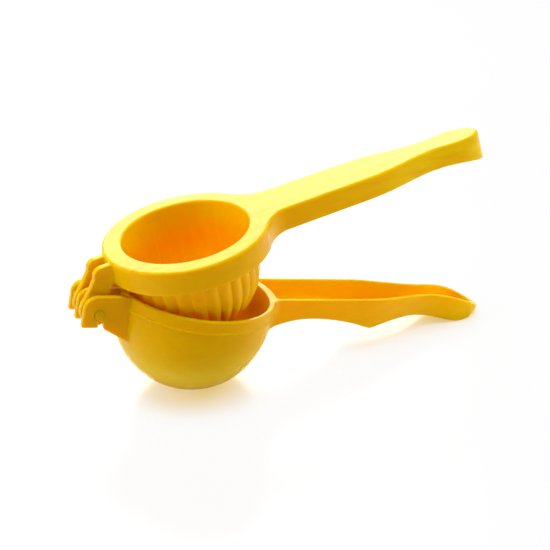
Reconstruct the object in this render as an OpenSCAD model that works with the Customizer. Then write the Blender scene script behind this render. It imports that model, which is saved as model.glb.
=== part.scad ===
// Hinged lemon squeezer, moulded in plastic.
// Three separate pieces: the lower half (bowl, trough handle and hinge lugs), the upper half
// (ring, press cup, hinge arms and handle) and the hinge pin.
//
// Each half is drawn closed, in the bowl's own frame: the origin is the middle of the bowl's rim,
// +X runs along the handles, +Y across them and +Z out of the bowl. The upper half is then opened
// about the pin, and the whole is tipped until the bowl and the lower handle's heel stand on z = 0.

/* [Bowl] */
// Outer diameter of the bowl
bowl_d = 73.6; // [66:0.2:84]
// Depth of the bowl's straight collar, above its round part
bowl_collar = 11.3; // [8:0.1:16]
// Thickness of the bowl's wall
bowl_wall = 1.9; // [1.4:0.1:3]
// Height of the raised band round the bowl's rim
rim_band_h = 6; // [3:0.5:8]
// How far the rim band stands proud of the bowl
rim_band_t = 0.4; // [0.2:0.1:1]

/* [Drain] */
// Diameter of a drain hole
drain_hole_d = 3; // [2:0.1:3.6]
// Number of rings of drain holes round the middle one
drain_rings = 2; // [1:1:3]
// Distance from one ring of drain holes to the next
drain_ring_step = 5.2; // [4.6:0.1:6.5]

/* [Lower handle] */
// Distance from the bowl's axis to the lower handle's tip
lower_reach = 167.6; // [160:0.2:190]
// Width of the lower handle's straight part
lower_w = 27; // [22:0.5:32]
// Width of the lower handle at its waist
lower_waist_w = 15.1; // [12:0.1:19]
// Width of the lower handle's round end
lower_end_w = 20.2; // [16:0.1:24]
// Distance from the bowl's axis to the lower handle's waist
lower_waist_at = 133; // [128:0.5:138]
// Length over which the lower handle widens from its waist to its round end
lower_flare = 21; // [16:1:22]
// Length of the lower handle's round end
lower_end_l = 12; // [10:0.1:13]
// Thickness of the lower handle's walls and floor
lower_wall = 2; // [1.4:0.1:3]
// Thickness of the lower handle's end wall
lower_end_wall = 3.6; // [2:0.1:5]
// Depth of the handle at the first arch of its underside
first_arch_depth = 10.3; // [8:0.1:13]
// Depth of the handle at the second arch of its underside
second_arch_depth = 11.2; // [8:0.1:13]
// Depth of the handle at the heel it stands on
heel_depth = 13.9; // [12:0.1:16]
// Radius of the heel's round underside
heel_r = 6; // [4:0.5:8]
// Distance from the lower handle's tip back to its heel
heel_back = 16.2; // [15:0.1:20]
// Radius of the lower corner of the tip
tip_corner_r = 4.4; // [2:0.1:5]
// How far the tip's lower corner stands back from the tip
tip_lean = 11; // [4:0.1:12]
// Radius in plan where the rim flows into the lower handle
lower_root_r = 4.5; // [2:0.5:8]

/* [Upper ring] */
// Outer diameter of the ring
ring_d = 76.4; // [75:0.2:88]
// Height of the ring and of the upper handle
ring_h = 11.2; // [8:0.2:15]
// Thickness of the ring's and the upper handle's flat top
top_t = 2.2; // [1.4:0.1:3]
// Thickness of the ring's skirt and the upper handle's side walls
skirt_t = 2; // [1.4:0.1:3]
// Radius of the ring's rounded outer edge
ring_edge_r = 1.4; // [0.5:0.1:2]
// Gap between the two halves when they are closed
closed_gap = 0.4; // [0.3:0.1:2]

/* [Press cup] */
// Outer diameter of the press cup over its flutes
cup_d = 62; // [52:0.2:64]
// Depth of the cup's straight part below the bowl's rim when closed
cup_collar = 7.7; // [4:0.1:12]
// Thickness of the press cup's wall
cup_wall = 1.8; // [1.5:0.1:3]
// Number of flutes round the cup
flutes = 30; // [18:1:36]
// Depth of the grooves between the flutes
flute_depth = 1; // [0.6:0.1:1.2]
// Width of the grooves between the flutes
flute_groove_w = 3.4; // [2:0.1:3.6]
// How far down the cup's round bottom the grooves run out, in degrees
flute_fade = 55; // [48:1:58]

/* [Upper handle] */
// Distance from the ring's axis to the upper handle's tip
upper_reach = 162; // [156:0.2:168]
// Width of the upper handle's straight part
upper_w = 24.6; // [20:0.2:30]
// Width of the upper handle at its waist
upper_waist_w = 13.6; // [10:0.1:17]
// Width of the upper handle's round end
upper_end_w = 15.6; // [13:0.1:20]
// Distance from the ring's axis to the upper handle's waist
upper_waist_at = 130; // [125:0.5:134]
// Length over which the upper handle widens from its waist to its round end
upper_flare = 16; // [13:1:17]
// Length of the upper handle's round end
upper_end_l = 14.4; // [9:0.1:14.6]
// Angle by which the upper handle's end leans back towards its top
upper_tip_lean = 10; // [0:0.5:15]
// Radius in plan where the ring flows into the upper handle
upper_root_r = 9; // [5:0.5:12]

/* [Handle curves] */
// Distance from the bowl's axis to where the lower handle begins to narrow
lower_narrow_from = 88; // [80:1:100]
// Distance from the ring's axis to where the upper handle begins to narrow
upper_narrow_from = 84; // [78:1:96]
// Length before the lower handle's tip over which the parting line droops
droop_l = 33.6; // [24:0.2:48]
// Radius of the parting line's droop towards the tips
droop_r = 82; // [60:1:160]

/* [Hinge] */
// Distance from the bowl's axis back to the hinge pin
hinge_back = 49.2; // [47:0.1:60]
// Depth of the hinge pin below the bowl's rim
hinge_drop = 8.3; // [7:0.1:10]
// Diameter of the hinge pin
pin_d = 4.4; // [3:0.1:6]
// Radial clearance of the upper arms' bores on the pin
pin_clearance = 0.08; // [0.02:0.01:0.1]
// How much smaller than the pin the lower lugs' bores are, on the radius
pin_grip = 0.02; // [0.01:0.01:0.05]
// Distance between the middles of neighbouring lower lugs
lug_pitch = 9.55; // [9:0.05:12]
// Thickness of a lower lug
lug_t = 2.8; // [2:0.1:4]
// Side clearance between an upper arm and each lug beside it
arm_side_gap = 1.6; // [0.4:0.1:2]
// How far the lugs reach behind the pin
lug_back = 7.2; // [6.5:0.1:9]
// How far the lugs reach below the pin
lug_below = 6.2; // [4:0.1:8]
// How far the lugs stand above the bowl's rim
lug_above_rim = 0.3; // [0.2:0.1:2]
// Radius of the lugs' top rear corner
lug_corner_r = 6.2; // [3:0.1:6.5]
// How far down the bowl's wall the lugs are rooted
lug_root_depth = 21.9; // [16:0.1:24]
// Width of the slot that the pin is snapped in through
snap_slot_w = 2.6; // [1.5:0.1:4]
// How far the slot leans forward from straight down, in degrees
snap_slot_lean = 15; // [0:1:20]
// Radius of the round ends of the upper arms
knuckle_r = 7.3; // [4.5:0.1:8]
// How far the upper arms' tops lie below the ring's top
arm_below_top = 0.6; // [0:0.1:2]
// Radius of the upper arms' top rear corners
arm_corner_r = 4.5; // [2:0.1:6]

/* [Pose] */
// Angle between the two halves
open_angle = 22; // [0:1:120]

/* [Hidden] */
$fn = 96;

lemon = [0.96, 0.79, 0.05];
reach = 400; // longer than any piece, for cuts that go right through
eps = 0.01;

bowl_r = bowl_d / 2;
rim_r = bowl_r + rim_band_t;
ring_r = ring_d / 2;
ring_top = closed_gap + ring_h;
cup_r = cup_d / 2;
cup_inner_r = cup_r - cup_wall;
pin_x = -hinge_back;
pin_z = -hinge_drop;
arm_t = lug_pitch - lug_t - 2 * arm_side_gap;
pin_len = 2 * lug_pitch + lug_t;

// The parting line of the handles is flat as far as this, then droops towards the tips
droop_from = lower_reach - droop_l;

upper_tip_low = closed_gap + droop(upper_reach); // lower edge of the upper handle's tip

// Underside of the lower handle: two arches that meet in a finger bump, then a heel.
first_arch_x = bowl_r + 20.7;
first_arch_r = 111;       // bend of the first arch, on its outer side
first_arch_root_r = 50;   // bend of the first arch, towards the bowl
second_arch_x = lower_waist_at - 10;
second_arch_r = 84;
bump_round = 0.5;         // how much the finger bump's peak is rounded off
heel = [lower_reach - heel_back, heel_r - heel_depth]; // middle of the heel's round
curve_step = 2;

// Tilt of the whole: the bowl's round bottom and the heel's round underside touch one plane.
heel_rise = heel[1] + bowl_collar;
tip_angle = asin((bowl_r - heel_r) / norm([heel[0], heel_rise])) + atan2(heel_rise, heel[0]);
stand_h = bowl_collar * cos(tip_angle) + bowl_r;
table_side = [sin(tip_angle), -cos(tip_angle)]; // towards the table, in the bowl's frame

// Middle of the tip's lower corner, which clears the table by a hair
tip_corner_x = lower_reach - tip_lean;
tip_corner = [tip_corner_x,
    (tip_corner_x * sin(tip_angle) - stand_h + tip_corner_r + 0.2) / cos(tip_angle)];

// Middle of the whole along X, between the lugs' rear foot and the lower handle's tip.
lug_foot_r = 0.8;
rear_x = (pin_x - lug_back + lug_foot_r) * cos(tip_angle)
    + (pin_z - lug_below + lug_foot_r) * sin(tip_angle) - lug_foot_r;
front_x = lower_reach * cos(tip_angle) + droop(lower_reach) * sin(tip_angle);
middle_x = (rear_x + front_x) / 2;

// ---- curves ----

function clamp01(t) = max(0, min(1, t));
function ease(t) = (1 - cos(180 * clamp01(t))) / 2;
function mix(a, b, t) = a + (b - a) * t;
function soft_max(a, b, s) = (a + b) / 2 + norm([(a - b) / 2, s]);

// Height of the parting line at x
function droop(x) = x < droop_from ? 0 : -pow(x - droop_from, 2) / (2 * droop_r);

// Half width of a handle at x: straight, narrowing to the waist, then widening to its end.
// h holds where it narrows, its waist, where it is full again, the three widths and the taper.
function half_width(x, h) = x < h[1]
    ? mix(h[3], h[4], ease(pow(clamp01((x - h[0]) / (h[1] - h[0])), h[6]))) / 2
    : mix(h[4], h[5], ease((x - h[1]) / (h[2] - h[1]))) / 2;

lower_form = [lower_narrow_from, lower_waist_at, lower_waist_at + lower_flare,
    lower_w, lower_waist_w, lower_end_w, 1.1];
upper_form = [upper_narrow_from, upper_waist_at, upper_waist_at + upper_flare,
    upper_w, upper_waist_w, upper_end_w, 1.3];

function first_arch(x) = -first_arch_depth
    - pow(x - first_arch_x, 2) / (2 * (x < first_arch_x ? first_arch_root_r : first_arch_r));
function second_arch(x) = -second_arch_depth - pow(x - second_arch_x, 2) / (2 * second_arch_r);
function to_heel(x) = mix(-second_arch_depth, -heel_depth,
    ease((x - second_arch_x) / (heel[0] - second_arch_x)));

// Height of the lower handle's underside at x
function underside(x) = x > second_arch_x
    ? to_heel(x) : soft_max(first_arch(x), second_arch(x), bump_round);

function steps(from, to) = [for (i = [0 : ceil((to - from) / curve_step)])
    min(to, from + i * curve_step)];
function reversed(list) = [for (i = [len(list) - 1 : -1 : 0]) list[i]];

// ---- shared outlines ----

// Plan of a handle from x = from to its tip: curved sides and an elliptical end of length end_l
module handle_plan(from, tip, form, end_l, inset) {
    end_x = tip - end_l;
    side = [for (x = concat([from], steps(form[0], end_x))) [x, half_width(x, form) - inset]];
    end = [for (a = [6 : 6 : 84])
        [end_x + (end_l - inset) * sin(a), (form[5] / 2 - inset) * cos(a)]];
    half = concat(side, end);
    polygon(concat(half, [[tip - inset, 0]], reversed([for (p = half) [p[0], -p[1]]])));
}

// Plan of the two hollow curves where a round rim of radius r flows into a handle of width w.
// They bite into the rim by a hair, so that the two curves cross instead of just touching.
module root_plan(r, w, root_r) {
    bite = 0.1;
    cy = w / 2 + root_r;
    cx = sqrt(pow(r + root_r - bite, 2) - cy * cy);
    on_rim = [cx, cy] * r / (r + root_r);
    for (side = [0, 1])
        mirror([0, side])
            difference() {
                polygon([[0, 0], [cx, 0], [cx, cy], on_rim]);
                translate([cx, cy])
                    circle(r = root_r);
            }
}

// A side view in x and z, made into a solid of the given width about the middle plane
module across(width) {
    rotate([90, 0, 0])
        linear_extrude(height = width, center = true)
            children();
}

// ---- lower half ----

module bowl_shape(r) {
    intersection() {
        union() {
            translate([0, 0, -bowl_collar])
                sphere(r = r);
            translate([0, 0, -bowl_collar])
                cylinder(h = bowl_collar, r = r);
        }
        translate([0, 0, -reach / 2])
            cube(reach, center = true);
    }
}

// Drain holes round the bowl's lowest place: one in the middle, then 6 in a ring, 12 and so on
module drain() {
    translate([0, 0, -bowl_collar - bowl_r - 1]) {
        cylinder(h = bowl_r, d = drain_hole_d);
        for (ring = [1 : drain_rings], i = [0 : 6 * ring - 1])
            rotate(i * 60 / ring + 30)
                translate([ring * drain_ring_step, 0, 0])
                    cylinder(h = bowl_r, d = drain_hole_d);
    }
}

// Side view of the lower handle between its open top and its underside, thinned by inset
module lower_side(inset) {
    heel_low = heel + (heel_r - inset) * table_side;
    corner_low = tip_corner + (tip_corner_r - inset) * table_side;
    corner_out = tip_corner + (tip_corner_r - inset) * [cos(40), -sin(40)];
    under = [for (x = steps(bowl_r - 6, heel[0])) [x, underside(x) + inset]];
    over = [for (x = steps(droop_from, lower_reach)) [x, droop(x)]];
    tip = [lower_reach - inset, droop(lower_reach)];
    polygon(concat(under, [heel_low, corner_low, corner_out, tip], reversed(over), [[bowl_r - 6, 0]]));
    translate(heel)
        circle(r = heel_r - inset);
    translate(tip_corner)
        circle(r = tip_corner_r - inset);
}

module lower_handle() {
    intersection() {
        across(lower_w * 2)
            lower_side(0);
        union() {
            translate([0, 0, -reach / 2])
                linear_extrude(height = reach)
                    handle_plan(bowl_r - 6, lower_reach, lower_form, lower_end_l, 0);
            translate([0, 0, -reach / 2])
                linear_extrude(height = reach)
                    root_plan(bowl_r, lower_w, lower_root_r);
            translate([0, 0, -rim_band_h])
                linear_extrude(height = reach)
                    root_plan(rim_r, lower_w, lower_root_r);
        }
    }
}

module trough() {
    trough_from = rim_r + bowl_wall;
    inner_tip = lower_reach - lower_end_wall;
    difference() {
        intersection() {
            across(lower_w * 2)
                union() {
                    lower_side(lower_wall);
                    translate([bowl_r - 6, -1])
                        square([inner_tip - bowl_r + 6, 10]);
                    translate([droop_from, droop(lower_reach)])
                        square([inner_tip - droop_from, 10]);
                }
            translate([0, 0, -reach / 2])
                linear_extrude(height = reach)
                    handle_plan(bowl_r - 6, inner_tip + lower_wall, lower_form, lower_end_l, lower_wall);
        }
        cylinder(h = reach, r = trough_from, center = true);
    }
}

module lug_side() {
    top = lug_above_rim;
    rear = pin_x - lug_back;
    foot = pin_z - lug_below;
    clear_x = -(ring_r + 1.6); // the lug's top drops to the rim here, clear of the ring
    root_x = -bowl_r + 3;
    difference() {
        union() {
            polygon([[rear, foot + lug_foot_r], [rear, top - lug_corner_r],
                [rear + lug_corner_r, top], [clear_x, top], [-(ring_r + 0.5), 0], [root_x, 0],
                [root_x, -lug_root_depth], [pin_x + 3.4, foot - 0.9], [pin_x + 2.4, foot],
                [rear + lug_foot_r, foot]]);
            translate([rear + lug_corner_r, top - lug_corner_r])
                circle(r = lug_corner_r);
            translate([rear + lug_foot_r, foot + lug_foot_r])
                circle(r = lug_foot_r);
        }
        translate([pin_x, pin_z])
            circle(d = pin_d - 2 * pin_grip);
        translate([pin_x, pin_z])
            rotate(snap_slot_lean)
                translate([-snap_slot_w / 2, -lug_below - 4])
                    square([snap_slot_w, lug_below + 4]);
    }
}

module lower_half() {
    color(lemon)
        stand()
            difference() {
                union() {
                    bowl_shape(bowl_r);
                    translate([0, 0, -rim_band_h])
                        cylinder(h = rim_band_h, r = rim_r);
                    lower_handle();
                    for (i = [-1 : 1])
                        translate([0, i * lug_pitch, 0])
                            across(lug_t)
                                lug_side();
                }
                translate([0, 0, eps])
                    bowl_shape(bowl_r - bowl_wall);
                trough();
                drain();
            }
}

// ---- upper half ----

// Half section of the ring and cup: flat top with a rounded outer edge, skirt and cup wall
module ring_and_cup_section() {
    difference() {
        union() {
            translate([0, -cup_collar])
                square([cup_r, cup_collar + ring_top]);
            intersection() {
                translate([0, -cup_collar])
                    circle(r = cup_r);
                translate([0, -cup_collar - cup_r])
                    square([cup_r, cup_r]);
            }
            translate([cup_r - 1, ring_top - top_t])
                square([ring_r - cup_r + 1, top_t]);
            translate([ring_r - skirt_t, closed_gap])
                square([skirt_t, ring_h]);
        }
        translate([0, -cup_collar])
            circle(r = cup_inner_r);
        translate([0, -cup_collar])
            square([cup_inner_r, cup_collar + ring_top + 1]);
        translate([ring_r - ring_edge_r, ring_top - ring_edge_r])
            difference() {
                square(ring_edge_r + 1);
                circle(r = ring_edge_r);
            }
    }
}

// Groove between two flutes: straight cuts that step down the cup's side, follow its round
// bottom and run out of it. They meet along the groove and overlap there by a little.
module flute_groove() {
    slope = flute_groove_w / 2 / flute_depth;
    cutter_h = flute_depth + 0.25;
    overlap = 0.15;
    groove_r = cup_r - 0.75 * flute_depth; // the cuts' corners, a little less deep than their middles
    bends = [[3, groove_r], [16, groove_r], [29, groove_r], [flute_fade - 13, groove_r],
        [flute_fade, cup_r + 0.1]];
    straight_x = cup_r - flute_depth;
    corners = concat([[straight_x, ring_top - top_t - 0.8], [straight_x, -cup_collar]],
        [for (b = bends) [b[1] * cos(b[0]), -cup_collar - b[1] * sin(b[0])]]);
    for (i = [0 : len(corners) - 2]) {
        run = corners[i] - corners[i + 1];
        translate([corners[i + 1][0], 0, corners[i + 1][1]])
            rotate([0, atan2(run[0], run[1]), 0])
                translate([0, 0, -overlap])
                    linear_extrude(height = norm(run) + 2 * overlap)
                        polygon([[0, 0], [cutter_h, slope * cutter_h], [cutter_h, -slope * cutter_h]]);
    }
}

module flute_grooves() {
    for (i = [0 : flutes - 1])
        rotate((i + 0.5) * 360 / flutes)
            flute_groove();
}

// Side view of the upper handle between its flat top and the parting line, a little too long
module upper_side() {
    root_x = ring_r - 6;
    under = [for (x = steps(droop_from, upper_reach + 1)) [x, closed_gap + droop(x)]];
    polygon(concat([[root_x, closed_gap]], under, [[upper_reach + 1, ring_top], [root_x, ring_top]]));
}

// All that lies beyond the upper handle's round end, which leans back about its lower edge
module beyond_upper_tip() {
    half_w = upper_end_w / 2 + 0.02; // a hair wider than the handle, so that the sides stay whole
    translate([upper_reach, 0, upper_tip_low])
        rotate([0, -upper_tip_lean, 0])
            linear_extrude(height = 4 * ring_h, center = true)
                difference() {
                    translate([-upper_end_l, -upper_w])
                        square([2 * upper_end_l, 2 * upper_w]);
                    polygon(concat([[-upper_end_l - 1, half_w]],
                        [for (a = [0 : 5 : 180])
                            [upper_end_l * (sin(a) - 1), half_w * cos(a)]],
                        [[-upper_end_l - 1, -half_w]]));
                }
}

module upper_handle() {
    inner_tip = upper_reach - (ring_top - top_t - upper_tip_low) * tan(upper_tip_lean);
    difference() {
        intersection() {
            across(upper_w * 2)
                upper_side();
            translate([0, 0, -reach / 2])
                linear_extrude(height = reach) {
                    handle_plan(ring_r - 6, upper_reach + upper_end_l + 2, upper_form, upper_end_l, 0);
                    root_plan(ring_r, upper_w, upper_root_r);
                }
        }
        beyond_upper_tip();
        translate([0, 0, ring_top - top_t - reach])
            linear_extrude(height = reach)
                difference() {
                    handle_plan(ring_r - 6, inner_tip, upper_form, upper_end_l, skirt_t);
                    circle(r = ring_r);
                }
        cylinder(h = reach, r = ring_r - skirt_t, center = true);
    }
}

module arm_side() {
    top = ring_top - arm_below_top;
    corner_r = arm_corner_r;
    neck_back = pin_x + 2.6;  // rear edge of the arm under its rounded top
    neck_front = -(ring_r - skirt_t / 2);
    polygon([[neck_front, top], [neck_back + corner_r, top], [neck_back, top - corner_r],
        [pin_x - 1.3, 1.4], [pin_x - 0.72 * knuckle_r, pin_z + 0.72 * knuckle_r], [pin_x, pin_z],
        [pin_x + knuckle_r, pin_z], [neck_front - 3.4, closed_gap], [neck_front, closed_gap + 1.6]]);
    translate([neck_back + corner_r, top - corner_r])
        circle(r = corner_r);
    translate([pin_x, pin_z])
        circle(r = knuckle_r);
}

module arms() {
    for (side = [-1, 1])
        translate([0, side * lug_pitch / 2, 0])
            across(arm_t)
                arm_side();
}

module upper_half() {
    color(lemon)
        stand()
            opened()
                difference() {
                    union() {
                        rotate_extrude()
                            ring_and_cup_section();
                        upper_handle();
                        arms();
                    }
                    translate([pin_x, 0, pin_z])
                        rotate([90, 0, 0])
                            cylinder(h = pin_len, d = pin_d + 2 * pin_clearance, center = true);
                    flute_grooves();
                }
}

// ---- hinge pin ----

module hinge_pin() {
    chamfer = 0.4;
    color(lemon)
        stand()
            translate([pin_x, 0, pin_z])
                rotate([90, 0, 0])
                    translate([0, 0, -pin_len / 2]) {
                        cylinder(h = chamfer, d1 = pin_d - 2 * chamfer, d2 = pin_d);
                        translate([0, 0, chamfer])
                            cylinder(h = pin_len - 2 * chamfer, d = pin_d);
                        translate([0, 0, pin_len - chamfer])
                            cylinder(h = chamfer, d1 = pin_d, d2 = pin_d - 2 * chamfer);
                    }
}

// ---- pose ----

// Opens the upper half about the hinge pin
module opened() {
    translate([pin_x, 0, pin_z])
        rotate([0, -open_angle, 0])
            translate([-pin_x, 0, -pin_z])
                children();
}

// Stands the bowl's frame on the table, with its middle over the origin
module stand() {
    translate([-middle_x, 0, stand_h])
        rotate([0, tip_angle, 0])
            children();
}

lower_half();
upper_half();
hinge_pin();
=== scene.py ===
"""Looks of a hinged lemon squeezer: two moulded halves and a hinge pin, with floor, light and camera.

Each half is described by a distance field in millimetres, in its own closed frame: the origin is the
middle of the rim, X runs along the handles, Y across them and Z out of the bowl. The field is skinned
with a fine quad mesh, whose points are then pulled exactly onto the surface, and the skin is placed
in the shared frame, in metres.
"""
import logging
import math
from dataclasses import dataclass, field, replace
from enum import Enum
from typing import Callable

import bpy
import numpy as np
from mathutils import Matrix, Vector


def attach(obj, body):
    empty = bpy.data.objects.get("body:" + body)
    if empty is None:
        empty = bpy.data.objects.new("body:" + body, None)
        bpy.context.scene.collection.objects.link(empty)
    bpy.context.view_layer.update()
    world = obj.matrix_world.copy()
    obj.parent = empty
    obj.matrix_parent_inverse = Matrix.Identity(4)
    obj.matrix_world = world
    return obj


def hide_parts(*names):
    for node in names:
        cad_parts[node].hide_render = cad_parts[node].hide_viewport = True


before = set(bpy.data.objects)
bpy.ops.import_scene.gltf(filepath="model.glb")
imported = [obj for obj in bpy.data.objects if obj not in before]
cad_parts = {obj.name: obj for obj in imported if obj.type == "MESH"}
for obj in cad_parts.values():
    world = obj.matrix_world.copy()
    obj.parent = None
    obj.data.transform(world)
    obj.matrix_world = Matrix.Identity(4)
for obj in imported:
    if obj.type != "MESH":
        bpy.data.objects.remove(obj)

Array = np.ndarray
FieldFunction = Callable[[Array, Array, Array], Array]
Colour = tuple[float, float, float]
MM = 0.001
FINE_CELL, QUICK_CELL = 0.5, 1.0
SLOPE_STEP = 0.05
FAR_ABOVE = 30.0
FAR_INSIDE = -1e3
log = logging.getLogger("lemon_squeezer")


# ---- fields ----


def meet(a: Array, b: Array, edge: float) -> Array:
    """Overlap of two fields with a round outer edge.

    Args:
        a: distance to the first shape, negative inside.
        b: distance to the second shape.
        edge: radius of the edge where they meet, in mm.

    Returns:
        The field of what both shapes hold.
    """
    corner = np.hypot(np.maximum(edge + a, 0), np.maximum(edge + b, 0))
    return np.minimum(-edge, np.maximum(a, b)) + corner


def join(a: Array, b: Array, fillet: float) -> Array:
    """Union of two fields with a hollow fillet in the corner between them.

    Args:
        a: distance to the first shape, negative inside.
        b: distance to the second shape.
        fillet: radius of the fillet, in mm.

    Returns:
        The field of what either shape holds.
    """
    corner = np.hypot(np.maximum(fillet - a, 0), np.maximum(fillet - b, 0))
    return np.maximum(fillet, np.minimum(a, b)) - corner


def ease(t: Array) -> Array:
    """Goes smoothly from 0 to 1 as t does."""
    return (1 - np.cos(np.pi * np.clip(t, 0, 1))) / 2


def slope_of(curve: Callable[[Array], Array], x: Array) -> Array:
    """Slope of a curve at x, measured over a short step."""
    return (curve(x + SLOPE_STEP) - curve(x - SLOPE_STEP)) / (2 * SLOPE_STEP)


def round_bottom(r: Array, z: Array, radius: float, collar: float) -> Array:
    """Field of a round-bottomed vessel that is straight above a depth.

    Args:
        r: distance from the vessel's axis.
        z: height above the rim.
        radius: the vessel's radius.
        collar: depth of its straight part.

    Returns:
        Distance to the vessel's wall, negative inside.
    """
    return np.hypot(r, np.minimum(z + collar, 0)) - radius


def outline_field(points: list[tuple[float, float]], u: Array, v: Array) -> Array:
    """Signed distance to a closed outline in a plane.

    Args:
        points: the outline's corners in order.
        u: first coordinate of the places asked for.
        v: second coordinate of the places asked for.

    Returns:
        The distance, negative inside.
    """
    shape = np.broadcast(u, v).shape
    nearest = np.full(shape, np.inf)
    inside = np.zeros(shape, bool)
    for (au, av), (bu, bv) in zip(points, points[1:] + points[:1]):
        eu, ev = bu - au, bv - av
        wu, wv = u - au, v - av
        t = np.clip((wu * eu + wv * ev) / (eu * eu + ev * ev), 0, 1)
        nearest = np.minimum(nearest, (wu - t * eu) ** 2 + (wv - t * ev) ** 2)
        if ev:
            inside = inside ^ (((av > v) != (bv > v)) & (u < eu * (v - av) / ev + au))
    away = np.sqrt(nearest)
    return np.where(inside, -away, away)


def arc(middle: tuple[float, float], radius: float, start: float, end: float) -> list[tuple[float, float]]:
    """Points on an arc, two degrees apart.

    Args:
        middle: centre of the arc.
        radius: its radius.
        start: first angle in degrees.
        end: last angle in degrees.

    Returns:
        The points in order.
    """
    angles = np.radians(np.linspace(start, end, max(3, int(abs(end - start) / 2) + 1)))
    return [(middle[0] + radius * math.cos(a), middle[1] + radius * math.sin(a)) for a in angles]


@dataclass(frozen=True)
class HandlePlan:
    """A handle seen from above: straight, narrowing to a waist, widening again to a round end."""

    start: float
    narrow_from: float
    waist_at: float
    flare: float
    width: float
    waist_width: float
    end_width: float
    taper: float
    reach: float
    end_length: float

    def half_width(self, x: Array) -> Array:
        """Half width of the handle at x, without its round end."""
        narrowing = np.clip((x - self.narrow_from) / (self.waist_at - self.narrow_from), 0, 1) ** self.taper
        before = self.width + (self.waist_width - self.width) * ease(narrowing)
        widening = ease((x - self.waist_at) / self.flare)
        after = self.waist_width + (self.end_width - self.waist_width) * widening
        return np.where(x < self.waist_at, before, after) / 2

    def field(self, x: Array, y: Array) -> Array:
        """Distance to the handle's outline in plan.

        Args:
            x: place along the handle.
            y: place across the handle.

        Returns:
            The distance, negative inside.
        """
        end_x = self.reach - self.end_length
        side = (np.abs(y) - self.half_width(x)) / np.sqrt(1 + slope_of(self.half_width, x) ** 2)
        along = np.maximum(x - end_x, 1e-3)
        half_end = self.end_width / 2
        k0 = np.hypot(along / self.end_length, y / half_end)
        k1 = np.hypot(along / self.end_length**2, y / half_end**2)
        tip = k0 * (k0 - 1) / k1
        return np.maximum(np.where(x < end_x, side, tip), self.start - x)


@dataclass(frozen=True)
class Stance:
    """How the closed frames of the two halves stand in the shared frame."""

    middle_x: float = 51.8411
    rim_height: float = 47.8098
    tip_angle: float = 13.0214
    pin_x: float = -49.2
    pin_z: float = -8.3
    open_angle: float = 22.0

    def placed(self, points: Array, opened: bool, turn_only: bool = False) -> Array:
        """Carries points from a half's closed frame into the shared frame.

        Args:
            points: rows of x, y, z in mm.
            opened: whether they belong to the half that swings up.
            turn_only: whether they are directions.

        Returns:
            Rows of x, y, z in metres, or unit directions.
        """
        x, y, z = points.T
        if opened:
            a = math.radians(self.open_angle)
            px, pz = (0.0, 0.0) if turn_only else (self.pin_x, self.pin_z)
            dx, dz = x - px, z - pz
            x, z = px + dx * math.cos(a) - dz * math.sin(a), pz + dx * math.sin(a) + dz * math.cos(a)
        t = math.radians(self.tip_angle)
        x, z = x * math.cos(t) + z * math.sin(t), z * math.cos(t) - x * math.sin(t)
        if turn_only:
            return np.stack([x, y, z], 1)
        return np.stack([x - self.middle_x, y, z + self.rim_height], 1) * MM


# ---- skins ----


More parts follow.
